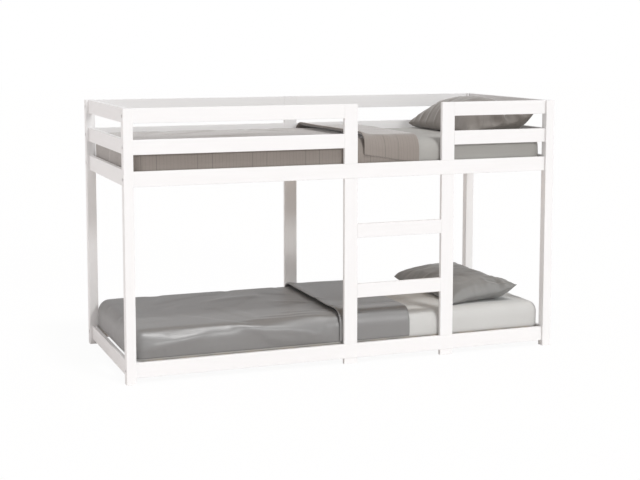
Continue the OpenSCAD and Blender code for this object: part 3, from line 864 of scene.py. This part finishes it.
@dataclass
class FittedSheet:
    """A foam mattress in its ticking, and the fitted cotton sheet stretched over it."""

    bunk: Bunk
    cell: float = 0.020
    thickness: float = 0.0012
    stand_off: float = 0.0007
    tuck: float = 0.040
    crown_r: float = 0.040
    base_r: float = 0.010
    inset: float = 0.001
    welt: float = 0.006
    welt_depth: float = 0.0015

    def make(self, effects: Effects) -> bpy.types.Object:
        """Builds both pieces and returns the sheet."""
        node = f"mattress_{self.bunk.value}"
        low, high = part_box(node)
        core = self._foam(low, high)
        sheet = self._sheet(mattress_block(self.bunk), low, high)
        wear(core, Cloth("ticking_" + self.bunk.value, (0.80, 0.79, 0.76), (0.74, 0.73, 0.70),
                         pitch=0.003, weave=0.4).make(effects))
        wear(sheet, Cloth("sheet_cotton_" + self.bunk.value, SHEET_PALE[self.bunk], SHEET_DEEP[self.bunk],
                          roughness=0.88, weave=0.15, rumple=0.5).make(effects))
        for piece in (core, sheet):
            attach(piece, f"{self.bunk.value}_bedding")
        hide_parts(node)
        LOG.info("%s with %s", core.name, sheet.name)
        return sheet

    def _foam(self, low: Vector, high: Vector) -> bpy.types.Object:
        """The foam block: round corners in plan, a welted panel top and bottom, soft edges."""
        size, middle = high - low, (high + low) / 2
        bpy.ops.object.select_all(action="DESELECT")
        bpy.ops.mesh.primitive_cube_add(size=1.0, location=middle)
        core = bpy.context.active_object
        core.name = core.data.name = f"mattress_foam_{self.bunk.value}"
        core.scale = tuple(length - 2 * self.inset for length in size)
        bpy.ops.object.transform_apply(location=True, rotation=True, scale=True)
        self._select(core, "EDGE", lambda ends: abs(ends[0].z - ends[1].z) > 0.01)
        bpy.ops.mesh.bevel(offset=PLAN_R[self.bunk] - 2 * self.inset, segments=6, affect="EDGES")
        bpy.ops.object.mode_set(mode="OBJECT")
        for height, radius in ((high.z - self.inset, self.crown_r), (low.z + self.inset, self.base_r)):
            self._select(core, "EDGE", lambda ends, z=height: all(abs(end.z - z) < 1e-4 for end in ends))
            bpy.ops.mesh.bevel(offset=radius, segments=6, affect="EDGES")
            bpy.ops.object.mode_set(mode="OBJECT")
        self._select(core, "FACE", lambda ends: max(e.z for e in ends) - min(e.z for e in ends) < 1e-4
                     and len(ends) > 4)
        for depth in (-self.welt_depth, self.welt_depth):
            bpy.ops.mesh.inset(thickness=self.welt, depth=depth)
        bpy.ops.mesh.select_all(action="SELECT")
        bpy.ops.uv.cube_project(cube_size=1.0)
        bpy.ops.object.mode_set(mode="OBJECT")
        core.data.uv_layers[0].name = "cloth"
        only(core)
        bpy.ops.object.shade_smooth_by_angle(angle=math.radians(35))
        return core

    @staticmethod
    def _select(piece: bpy.types.Object, kind: str, wanted: Callable[[list[Vector]], bool]) -> None:
        """Goes into edit mode with just the edges or faces whose vertices' places are wanted."""
        only(piece)
        bpy.ops.object.mode_set(mode="EDIT")
        bpy.ops.mesh.select_mode(type=kind)
        bpy.ops.mesh.select_all(action="DESELECT")
        bpy.ops.object.mode_set(mode="OBJECT")
        parts = piece.data.edges if kind == "EDGE" else piece.data.polygons
        for part in parts:
            part.select = wanted([piece.data.vertices[v].co for v in part.vertices])
        bpy.ops.object.mode_set(mode="EDIT")

    def _sheet(self, block: Block, low: Vector, high: Vector) -> bpy.types.Object:
        """The sheet: a top, four sides and a hem under the mattress, with faint pulls."""
        layout = Layout(block)
        tall = high.z - low.z
        drop = np.concatenate([steps(0.0, tall - block.bottom_r, self.cell),
                               [tall, tall + block.bottom_r, tall + self.tuck]])
        drape(layout, steps(low.x, high.x, self.cell), steps(low.y, high.y, self.cell), drop,
              self.stand_off, self.stand_off, closed=True)
        flat, run = layout.gathered("flat"), layout.gathered("run")
        spot = np.column_stack([flat, run])
        seed = SHEET_SEED[self.bunk]
        swell = (ripple(spot, (4.0, 11.0, 8.0), seed) + 0.6) * 0.0012
        pulls = np.maximum(0.0, 0.16 - np.abs(ripple(spot, (3.0, 15.0, 20.0), seed + 5.0, 1)))
        swell = (np.maximum(swell, 0.0) + pulls * 0.011) * np.clip((tall - run) / 0.03, 0.0, 1.0)
        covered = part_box(f"duvet_{self.bunk.value}")[1].x
        swell *= np.clip((flat[:, 0] - covered) / 0.03, 0.0, 1.0)
        sheet = layout.mesh(f"fitted_sheet_{self.bunk.value}", swell)
        apply_modifier(sheet, "SUBSURF", levels=1, render_levels=1)
        apply_modifier(sheet, "SOLIDIFY", thickness=self.thickness, offset=0.0)
        smooth(sheet)
        return sheet


@dataclass(frozen=True)
class Crease:
    """A soft ridge or hollow in cloth, between two places in the flat cloth."""

    start: tuple[float, float]
    end: tuple[float, float]
    width: float
    height: float
    bow: float = 0.0

    def at(self, cloth: np.ndarray) -> np.ndarray:
        """How far the crease lifts each place in the cloth."""
        first, last = np.array(self.start), np.array(self.end)
        line = last - first
        length = float(np.linalg.norm(line))
        unit = line / length
        across = np.array([-unit[1], unit[0]])
        along = (cloth - first) @ unit / length
        offset = (cloth - first) @ across - self.bow * np.sin(np.clip(along, 0, 1) * math.pi)
        ends = np.clip(along / 0.25, 0, 1) * np.clip((1 - along) / 0.25, 0, 1)
        fade = ends * ends * (3 - 2 * ends)
        return self.height * np.exp(-(offset / self.width) ** 2) * fade


@dataclass
class Duvet:
    """A quilt over the mattress, hanging down three sides and turned down at the pillow."""

    bunk: Bunk
    free_front: float
    free_back: float
    short_hem: float
    lift_edge: float
    finish: Cloth
    creases: tuple[Crease, ...]
    slip: float = 0.0
    cell: float = 0.0125
    top_t: float = 0.0105
    side_t: float = 0.0026
    rim_t: float = 0.0060
    clear: float = 0.0020
    loop_r: float = 0.0060
    hem_gap: float = 0.003
    bulge: float = 0.0
    bulge_start: float = 0.02
    bulge_end: float = 0.105
    broad_loft: float = 0.0030
    fine_loft: float = 0.0007
    hem_flat: float = 0.118
    lift_reach: float = 0.085
    buckle: float = 0.003
    seed: float = 0.0

    def make(self, effects: Effects) -> bpy.types.Object:
        """Builds the quilt and returns it."""
        node = f"duvet_{self.bunk.value}"
        low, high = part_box(f"mattress_{self.bunk.value}")
        fold_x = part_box(node)[1].x
        block = mattress_block(self.bunk)
        layout = Layout(block)
        roof = self.clear + self.top_t / 2
        wall = self.clear * 0.75 + self.side_t / 2
        drop = steps(0.0, high.z - low.z - self.hem_gap - block.bottom_r, self.cell)
        ys = steps(low.y, high.y, self.cell)
        top, sides = drape(layout, steps(low.x, fold_x - self.loop_r, self.cell), ys, drop,
                           roof, wall, closed=False)
        main_count = layout.count
        self._turn_down(layout, top, sides, ys, drop, fold_x, roof, wall)
        swell = self._swell(layout, main_count, fold_x)
        quilt = layout.mesh(f"quilt_{self.bunk.value}", swell)
        self._settle(quilt, layout, main_count)
        self._thicken(quilt, layout)
        wear(quilt, self.finish.make(effects))
        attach(quilt, f"{self.bunk.value}_bedding")
        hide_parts(node)
        LOG.info("%s", quilt.name)
        return quilt

    def _free_x(self, across: np.ndarray, low: float, high: float) -> np.ndarray:
        """Where the turned-down part ends, at each place across the bed."""
        share = np.clip((across - low) / (high - low), 0.0, 1.0)
        return self.free_front + (self.free_back - self.free_front) * share

    def _turn_down(self, layout: Layout, top: np.ndarray, sides: dict[str, np.ndarray], ys: np.ndarray,
                   drop: np.ndarray, fold_x: float, roof: float, wall: float) -> None:
        """Adds the fold at the head and the part turned back over the quilt.

        Args:
            layout: The cloth.
            top: Point numbers of the part on top.
            sides: Point numbers of each hanging side.
            ys: Rows across the bed.
            drop: Distances down the side.
            fold_x: Where the fold ends, along the bed.
            roof: How far the lower layer stands off the top.
            wall: How far it stands off the sides.
        """
        block = layout.block
        front = sides["front"][::-1, -1]
        back = sides["back"][1:, 0]
        edge = np.concatenate([front, top[-1, 1:], back])
        across = np.concatenate([np.full(len(drop) - 1, ys[0]), ys, np.full(len(drop) - 1, ys[-1])])
        share = np.concatenate([drop[:0:-1], np.zeros(len(ys)), drop[1:]]) / drop[-1]
        cloth_v = across + np.sign(across) * share * drop[-1]
        roof_up = roof + 2 * self.loop_r + 0.0012
        wall_up = wall + self.side_t + 0.0004
        turns = np.linspace(0.0, math.pi, 6)[1:-1]
        lengths = steps(0.0, 1.0, self.cell / 0.30)
        stations = [("loop", angle) for angle in turns] + [("flap", share_x) for share_x in lengths]
        rows = []
        free = self._free_x(across, ys[0], ys[-1])
        for kind, value in stations:
            if kind == "loop":
                x = np.full_like(free, fold_x - self.loop_r + self.loop_r * math.sin(value))
                mix = (1 - math.cos(value)) / 2
            else:
                x = (fold_x - self.loop_r) + (free - fold_x + self.loop_r) * value
                mix = 1.0
            hang = drop[-1] * np.ones_like(x)
            if self.short_hem:
                toward = np.clip((fold_x - x) / (fold_x - self.free_front), 0.0, 1.0)
                hang = drop[-1] + (self.short_hem - drop[-1]) * toward
            flat = np.stack([x, across], axis=-1)[None]
            run = np.where(share > 0, share * hang, block.run_of(flat[0]))[None]
            cloth_x = fold_x + (fold_x - x) + self.slip
            cloth = np.stack([cloth_x, cloth_v], axis=-1)[None]
            rows.append(layout.points(flat, run, roof + (roof_up - roof) * mix,
                                      wall + (wall_up - wall) * mix, cloth))
        numbers = np.concatenate([edge[None], *rows])
        cloth = np.stack([layout.gathered("cloth")[row[0]] for row in rows])
        first = cloth[:1].copy()
        first[..., 0] -= cloth[1, 0, 0] - cloth[0, 0, 0]
        layout.patch(numbers, np.concatenate([first, cloth]))

    def _swell(self, layout: Layout, main_count: int, fold_x: float) -> np.ndarray:
        """How much further than its rest each point stands off: loft, creases and a lifted edge."""
        flat, run = layout.gathered("flat"), layout.gathered("run")
        side = np.where(flat[:, 1] > 0, 1.0, -1.0)
        hung = np.maximum(run, 0.0)
        cloth = np.column_stack([flat[:, 0], flat[:, 1] + side * hung])
        spot = np.column_stack([cloth, np.zeros(len(cloth))])
        swell = ripple(spot, (2.6, 4.5, 1.0), self.seed) * self.broad_loft
        swell += ripple(spot, (6.0, 11.0, 1.0), self.seed + 3.0) * self.fine_loft
        for crease in self.creases:
            swell += crease.at(cloth)
        belly = np.clip((self.bulge_end - hung) / 0.035, 0.0, 1.0)
        belly *= np.clip((hung + self.bulge_start) / 0.05, 0.0, 1.0) * (run > -self.bulge_start)
        belly *= np.clip((-0.06 - flat[:, 0]) / 0.10, 0.0, 1.0)
        belly *= np.clip((flat[:, 0] + 0.90) / 0.05, 0.0, 1.0)
        swell += self.bulge * belly
        swell = np.maximum(swell, 0.0) * np.clip((self.hem_flat - hung) / 0.05, 0.0, 1.0)
        flap = np.arange(layout.count) >= main_count
        free_x = self._free_x(flat[:, 1], layout.block.low.y, layout.block.high.y)
        near = np.clip(1.0 - (flat[:, 0] - free_x) / self.lift_reach, 0.0, 1.0)
        fade = np.clip(1.0 - hung / 0.05, 0.25, 1.0)
        swell[flap] += (self.lift_edge * near ** 2 * fade)[flap]
        return swell

    def _settle(self, quilt: bpy.types.Object, layout: Layout, main_count: int) -> None:
        """Lets the single layer buckle under its own slack, while hems and the fold are held."""
        flat, run = layout.gathered("flat"), layout.gathered("run")
        held = np.clip((np.maximum(run, 0.0) - 0.055) / 0.03, 0.0, 1.0)
        held = np.maximum(held, np.clip((flat[:, 0] + 0.12) / 0.08, 0.0, 1.0))
        held[main_count:] = 1.0
        out = layout.block.place(flat, run, layout.gathered("rise") + 0.01, layout.gathered("stand") + 0.01)
        out -= layout.block.place(flat, run, layout.gathered("rise"), layout.gathered("stand"))
        out /= np.linalg.norm(out, axis=1, keepdims=True)
        settle(quilt, frames=16, held=held, cap=self.buckle, slack=0.012, bending=6.0, outward=out)

    def _thicken(self, quilt: bpy.types.Object, layout: Layout) -> None:
        """Gives the cloth its filling: full on top, pressed thin at the sides and hems."""
        run = layout.gathered("run")
        reach = layout.block.top_r
        share = np.clip((reach * 0.6 - run) / (reach * 1.6), 0.0, 1.0)
        share = share * share * (3 - 2 * share)
        thick = self.side_t + (self.top_t - self.side_t) * share
        rim = self._rim(quilt)
        thick = np.where(rim, np.minimum(thick, self.rim_t), thick)
        group_weights(quilt, "fill", thick / self.top_t)
        modifier = dict(thickness=self.top_t, offset=0.0, vertex_group="fill", use_even_offset=False)
        apply_modifier(quilt, "SOLIDIFY", **modifier)
        quilt.vertex_groups.remove(quilt.vertex_groups["fill"])
        apply_modifier(quilt, "SUBSURF", levels=1, render_levels=1)
        smooth(quilt)

    @staticmethod
    def _rim(piece: bpy.types.Object) -> np.ndarray:
        """True for each vertex on an open edge."""
        uses: dict[tuple[int, int], int] = {}
        for face in piece.data.polygons:
            for key in face.edge_keys:
                uses[key] = uses.get(key, 0) + 1
        rim = np.zeros(len(piece.data.vertices), bool)
        for key, count in uses.items():
            if count == 1:
                rim[list(key)] = True
        return rim


@dataclass
class Pillow:
    """A pillow of two panels sewn round their edge, filled, and leant up at the head end."""

    bunk: Bunk
    lean: float
    seam_height: float
    crown: float
    curl: float
    finish: Cloth
    creases: tuple[Crease, ...]
    size: tuple[float, float] = (0.346, 0.640)
    toward_head: float = 0.005
    cell: float = 0.0105
    waist: tuple[float, float] = (0.055, 0.050)
    pressure: float = 4.0
    taper: float = 0.55
    pucker: float = 0.0030
    pucker_rate: float = 42.0
    clear: float = 0.0035
    give: float = 0.010
    seed: float = 0.0

    def make(self, effects: Effects) -> bpy.types.Object:
        """Builds the pillow and returns it."""
        node = f"pillow_{self.bunk.value}"
        low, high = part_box(node)
        pillow, plane = self._panels()
        settle(pillow, frames=20, held=np.zeros(len(plane)), cap=0.012, pressure=self.pressure,
               slack=0.012, bending=0.6)
        self._fit(pillow)
        self._crease(pillow, plane)
        self._prop(pillow, plane, low, high)
        apply_modifier(pillow, "SUBSURF", levels=1, render_levels=1)
        smooth(pillow)
        wear(pillow, self.finish.make(effects))
        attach(pillow, f"{self.bunk.value}_pillow")
        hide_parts(node)
        LOG.info("%s", pillow.name)
        return pillow

    def _panels(self) -> tuple[bpy.types.Object, np.ndarray]:
        """Two panels as one closed mesh, swollen, and each point's place from -1 to 1."""
        wide, long = self.size
        us = np.linspace(-1, 1, max(3, round(wide / self.cell)))
        vs = np.linspace(-1, 1, max(3, round(long / self.cell)))
        plane = grid_of(us, vs).reshape(-1, 2)
        rows, columns = len(us), len(vs)
        upper = np.arange(rows * columns).reshape(rows, columns)
        inside = np.zeros((rows, columns), bool)
        inside[1:-1, 1:-1] = True
        lower = upper.copy()
        lower[inside] = np.arange(inside.sum()) + rows * columns
        plane = np.concatenate([plane, plane[inside.ravel()]])
        sign = np.concatenate([np.ones(rows * columns), -np.ones(int(inside.sum()))])
        u, v = np.abs(plane).T
        over = ((1 - u ** 2.3) * (1 - v ** 2.8)) ** self.taper
        under = ((1 - u ** 4.5) * (1 - v ** 3.0)) ** 0.6
        height = np.where(sign > 0, over * self.crown, -under * self.seam_height * 1.25)
        spread_u = 1.0 - self.waist[0] * (1 - v ** 2.2)
        spread_v = 1.0 - self.waist[1] * (1 - u ** 2.2)
        places = np.column_stack([plane[:, 0] * wide / 2 * spread_u,
                                  plane[:, 1] * long / 2 * spread_v, height])
        spot = np.column_stack([plane, sign * 3.0])
        places[:, 2] += ripple(spot, (3.0, 5.0, 1.0), self.seed) * 0.006 * over
        faces = quads_of(upper, -1).reshape(-1, 4)
        beneath = quads_of(lower, -1).reshape(-1, 4)[:, ::-1]
        everything = np.concatenate([faces, beneath])
        cloth = plane * np.array(self.size) / 2
        corners = cloth[everything.ravel()]
        return make_mesh(f"pillow_filled_{self.bunk.value}", places, everything, corners), plane

    def _fit(self, pillow: bpy.types.Object) -> None:
        """Scales the pillow back to its own size after it has swollen."""
        places = coordinates(pillow)
        span = places.max(axis=0) - places.min(axis=0)
        middle = (places.max(axis=0) + places.min(axis=0)) / 2
        middle[2] = 0.0
        places = (places - middle) * np.array([self.size[0] / span[0], self.size[1] / span[1], 1.0])
        places[:, 2] *= np.where(places[:, 2] > 0, self.crown / places[:, 2].max(), 1.0)
        set_coordinates(pillow, places)

    def _crease(self, pillow: bpy.types.Object, plane: np.ndarray) -> None:
        """Adds puckers along the seam, and creases in the upper panel."""
        places = coordinates(pillow)
        normals = normals_of(pillow)
        cloth = plane * np.array(self.size) / 2
        edge = 1.0 - np.abs(plane).max(axis=1)
        round_seam = np.where(np.abs(plane[:, 0]) > np.abs(plane[:, 1]), cloth[:, 1], cloth[:, 0])
        spot = np.column_stack([round_seam * self.pucker_rate, plane * 1.5])
        beat = ripple(spot, (1.0, 1.0, 1.0), self.seed, 1)
        lift = beat * self.pucker * np.exp(-((edge - 0.10) / 0.11) ** 2)
        upper = places[:, 2] > -0.002
        for crease in self.creases:
            lift += crease.at(cloth) * upper
        lift *= np.clip(edge / 0.03, 0.0, 1.0)
        set_coordinates(pillow, places + normals * lift[:, None])

    def _prop(self, pillow: bpy.types.Object, plane: np.ndarray, low: Vector, high: Vector) -> None:
        """Leans the pillow, curls its corners, puts it in place and flattens it where it rests."""
        places = coordinates(pillow)
        turn = math.radians(self.lean)
        along = places[:, 0] * math.cos(turn) - places[:, 2] * math.sin(turn)
        up = places[:, 0] * math.sin(turn) + places[:, 2] * math.cos(turn)
        u, v = plane.T
        corner = np.clip((np.abs(u) + np.abs(v) - 1.25) / 0.75, 0.0, 1.0) ** 1.6
        share = np.where(u > 0, 1.0, np.where(v < 0, -0.6, 0.0))
        up += corner * share * self.curl
        middle = (low + high) / 2
        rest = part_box(f"mattress_{self.bunk.value}")[1].z + self.clear
        up += rest + self.seam_height
        gap = up - rest
        soft = self.give
        up = rest + np.where(gap > soft, gap, soft * np.exp(np.minimum(gap - soft, 0.0) / soft))
        along += middle.x + self.toward_head - (along.max() + along.min()) / 2
        set_coordinates(pillow, np.column_stack([along, places[:, 1] + middle.y, up]))


# Studio


@dataclass(frozen=True)
class Sun:
    """A far, broad light: its turn from the front to the head, height, power and spread."""

    name: str
    turn: float
    height: float
    power: float
    spread: float

    def make(self) -> None:
        """Builds the light."""
        data = bpy.data.lights.new(self.name, "SUN")
        data.energy = self.power
        data.angle = math.radians(self.spread)
        light = bpy.data.objects.new(self.name, data)
        bpy.context.scene.collection.objects.link(light)
        turn, height = math.radians(self.turn), math.radians(self.height)
        toward = Vector((math.sin(turn) * math.cos(height), -math.cos(turn) * math.cos(height),
                         math.sin(height)))
        light.location = toward * 6.0
        light.rotation_euler = (-toward).to_track_quat("-Z", "Y").to_euler()


@dataclass
class Studio:
    """A pale floor, a bright world, soft lights and the camera."""

    eye: Point = (-2.0765, -5.4510, 1.3982)
    heading: float = 20.926
    pitch: float = 6.127
    lens: float = 73.042
    rise: float = -0.10
    floor_size: float = 60.0
    sky_left: Colour = (0.80, 0.755, 0.74)
    sky_right: Colour = (0.64, 0.645, 0.655)
    sky_front: Colour = (0.50, 0.50, 0.505)
    suns: tuple[Sun, ...] = (Sun("key", 22.0, 64.0, 1.25, 8.0), Sun("front", 14.0, 20.0, 0.72, 9.0))
    floor_white: float = 0.94

    def make(self) -> None:
        """Builds everything that isn't the bed."""
        self._floor()
        self._world()
        for sun in self.suns:
            sun.make()
        self._camera()
        bpy.context.scene.view_settings.view_transform = "Standard"

    def _floor(self) -> None:
        """A wide floor with the faintest mottling."""
        bpy.ops.object.select_all(action="DESELECT")
        bpy.ops.mesh.primitive_plane_add(size=self.floor_size, location=(0.0, 0.0, 0.0))
        floor = bpy.context.active_object
        floor.name = "studio_floor"
        material = bpy.data.materials.new("studio_floor")
        material.use_nodes = True
        graph = Graph(material.node_tree)
        shader = graph.add("BsdfPrincipled")
        white = graph.add("Emission")
        mix = graph.add("MixShader")
        seen = graph.maths("MULTIPLY", graph.add("LightPath").outputs["Is Camera Ray"], self.floor_white)
        graph.join(seen, mix.inputs["Fac"])
        graph.join(shader.outputs[0], mix.inputs[1])
        graph.join(white.outputs[0], mix.inputs[2])
        graph.join(mix.outputs[0], graph.add("OutputMaterial").inputs["Surface"])
        cloud = graph.noise(graph.add("TexCoord").outputs["Object"], 1.5, 3.0)
        graph.join(graph.blend(cloud, (0.80, 0.775, 0.765), (0.81, 0.785, 0.775)),
                   shader.inputs["Base Color"])
        shader.inputs["Emission Color"].default_value = (1.0, 1.0, 1.0, 1.0)
        shader.inputs["Emission Strength"].default_value = 0.10
        shader.inputs["Roughness"].default_value = 0.95
        shader.inputs["Specular IOR Level"].default_value = 0.1
        wear(floor, material)

    def _world(self) -> None:
        """Soft light from all round, a little weaker and warmer from the left, on a white ground."""
        world = bpy.data.worlds.new("studio_world")
        world.use_nodes = True
        graph = Graph(world.node_tree)
        split = graph.add("SeparateXYZ")
        graph.join(graph.add("TexCoord").outputs["Generated"], split.inputs[0])
        tone = graph.blend(graph.ranged(split.outputs["X"], -0.8, 0.4, 0.0, 1.0),
                           self.sky_left, self.sky_right)
        ahead = graph.ranged(split.outputs["Y"], -0.95, -0.15, 1.0, 0.0)
        level = graph.ranged(graph.maths("ABSOLUTE", split.outputs["Z"]), 0.1, 0.75, 1.0, 0.0)
        tone = graph.blend(graph.maths("MULTIPLY", ahead, level), tone, self.sky_front)
        tone = graph.blend(graph.add("LightPath").outputs["Is Camera Ray"], tone, (1.0, 1.0, 1.0))
        background = graph.add("Background")
        graph.join(tone, background.inputs["Color"])
        graph.join(background.outputs[0], graph.add("OutputWorld").inputs["Surface"])
        bpy.context.scene.world = world

    def _camera(self) -> None:
        """The camera, a little above the bed and to its foot side."""
        data = bpy.data.cameras.new("camera")
        data.lens = self.lens
        data.sensor_width = 36.0
        data.shift_y = self.rise
        camera = bpy.data.objects.new("camera", data)
        bpy.context.scene.collection.objects.link(camera)
        camera.location = self.eye
        turn, down = math.radians(self.heading), math.radians(self.pitch)
        aim = Vector((math.sin(turn) * math.cos(down), math.cos(turn) * math.cos(down), -math.sin(down)))
        camera.rotation_euler = aim.to_track_quat("-Z", "Y").to_euler()
        bpy.context.scene.camera = camera


# The whole bed


def quilts() -> tuple[Duvet, Duvet]:
    """The two quilts with their own cloths, folds and creases."""
    satin = Cloth("satin_slate", (0.195, 0.193, 0.190), (0.172, 0.170, 0.167), roughness=0.40,
                  shine=1.0, sheen=0.10, pitch=0.0012, weave=0.08, rumple=0.30, glow=(0.95, 0.95, 1.0))
    check = Cloth("check_taupe", (0.275, 0.243, 0.218), (0.225, 0.197, 0.174), roughness=0.80,
                  sheen=0.85, weave=0.25, rumple=0.4, line_strength=0.55, line_period=0.2335,
                  line_pair=0.064, line_width=0.0024, line_start=-0.900,
                  fine_strength=0.22)
    lower = Duvet(
        Bunk.LOWER, free_front=-0.045, free_back=-0.036, short_hem=0.0,
        lift_edge=0.010, finish=satin, bulge=0.007, seed=2.0,
        creases=(
            Crease((-0.98, -0.44), (-0.60, -0.385), 0.016, 0.008, 0.004),
            Crease((-0.80, -0.36), (-0.10, -0.365), 0.026, 0.004),
            Crease((-0.56, -0.36), (-0.04, -0.440), 0.018, 0.010, 0.008),
            Crease((-0.44, -0.41), (-0.04, -0.460), 0.016, 0.008, -0.004),
            Crease((-0.64, -0.42), (-0.30, -0.44), 0.024, -0.003),
            Crease((-0.50, -0.32), (-0.02, -0.350), 0.012, 0.005, 0.006),
            Crease((-0.42, -0.27), (0.06, -0.315), 0.012, 0.005, 0.004),
            Crease((-0.30, -0.20), (0.06, -0.270), 0.014, 0.005, -0.006),
            Crease((-0.24, 0.02), (0.04, -0.10), 0.022, 0.005),
            Crease((-0.55, 0.10), (-0.20, 0.16), 0.030, 0.004),
            Crease((0.02, -0.34), (0.27, -0.345), 0.009, 0.004),
        ))
    upper = Duvet(
        Bunk.UPPER, free_front=0.066, free_back=0.026, short_hem=0.056,
        lift_edge=0.019, finish=check, slip=0.0775, seed=11.0,
        creases=(
            Crease((-0.80, -0.10), (-0.20, 0.05), 0.05, 0.003),
            Crease((0.10, -0.30), (0.26, -0.40), 0.02, 0.003),
        ))
    return lower, upper


def pillows() -> tuple[Pillow, Pillow]:
    """The two pillows with their own cloths, fill and creases."""
    satin = Cloth("pillow_slate", (0.235, 0.235, 0.228), (0.200, 0.199, 0.192), roughness=0.60,
                  sheen=0.30, pitch=0.0012, weave=0.12, rumple=0.35)
    taupe = Cloth("pillow_taupe", (0.225, 0.205, 0.185), (0.180, 0.162, 0.145), roughness=0.65,
                  sheen=0.5, weave=0.2, rumple=0.4)
    lower = Pillow(
        Bunk.LOWER, lean=4.5, seam_height=0.034, crown=0.076, curl=0.028, finish=satin, seed=4.0,
        creases=(
            Crease((0.04, -0.40), (0.05, -0.18), 0.008, 0.006, 0.006),
            Crease((0.08, -0.40), (0.11, -0.19), 0.007, -0.009, 0.004),
            Crease((0.13, -0.40), (0.09, -0.18), 0.008, 0.009, -0.006),
            Crease((0.23, -0.34), (0.03, -0.23), 0.007, -0.009, 0.004),
            Crease((0.23, -0.29), (0.05, -0.19), 0.008, 0.009, -0.004),
            Crease((-0.04, -0.36), (-0.02, -0.24), 0.007, 0.004),
            Crease((-0.20, 0.34), (-0.02, 0.16), 0.010, 0.006),
            Crease((-0.21, 0.26), (-0.04, 0.12), 0.008, -0.005),
            Crease((-0.20, 0.06), (-0.08, 0.02), 0.008, 0.004),
        ))
    upper = Pillow(
        Bunk.UPPER, lean=7.0, seam_height=0.042, crown=0.120, curl=0.034, finish=taupe, taper=0.90,
        seed=9.0,
        creases=(
            Crease((-0.11, -0.42), (-0.03, -0.16), 0.009, 0.016, 0.014),
            Crease((-0.06, -0.42), (0.00, -0.20), 0.008, -0.014, -0.012),
            Crease((-0.03, -0.42), (0.05, -0.16), 0.009, 0.016, -0.016),
            Crease((0.14, -0.36), (-0.04, -0.24), 0.008, 0.012, 0.012),
            Crease((0.03, -0.42), (0.09, -0.18), 0.008, -0.014, 0.010),
            Crease((0.12, -0.42), (0.07, -0.16), 0.009, 0.016, -0.010),
            Crease((0.22, -0.33), (0.04, -0.22), 0.009, 0.012, 0.006),
            Crease((0.16, -0.42), (0.13, -0.20), 0.007, -0.010),
            Crease((-0.22, 0.28), (-0.02, 0.22), 0.006, 0.006),
            Crease((-0.22, 0.22), (0.00, 0.17), 0.006, 0.006),
            Crease((-0.22, 0.15), (0.00, 0.11), 0.006, 0.006),
            Crease((-0.22, 0.06), (-0.04, 0.05), 0.006, 0.005),
        ))
    return lower, upper


def main() -> None:
    """Builds the studio, dresses the CAD pieces and makes the bedding."""
    logging.basicConfig(level=logging.INFO, format="%(name)s: %(message)s")
    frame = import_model()
    Studio().make()
    effects = Effects()
    steel = ("bed_bolts", "barrel_nuts", "ledger_screws", "slat_screws", "lap_screws")
    soft = tuple(f"{kind}_{bunk.value}" for kind in ("mattress", "duvet", "pillow") for bunk in Bunk)
    timber = [name for name in sorted(frame["nodes"]) if name not in steel + soft]
    Timber(frame, effects).dress(timber)
    Hardware(frame, effects).dress(steel)
    for bunk in Bunk:
        FittedSheet(bunk).make(effects)
    for quilt in quilts():
        quilt.make(effects)
    for pillow in pillows():
        pillow.make(effects)


if __name__ == "__main__":
    main()
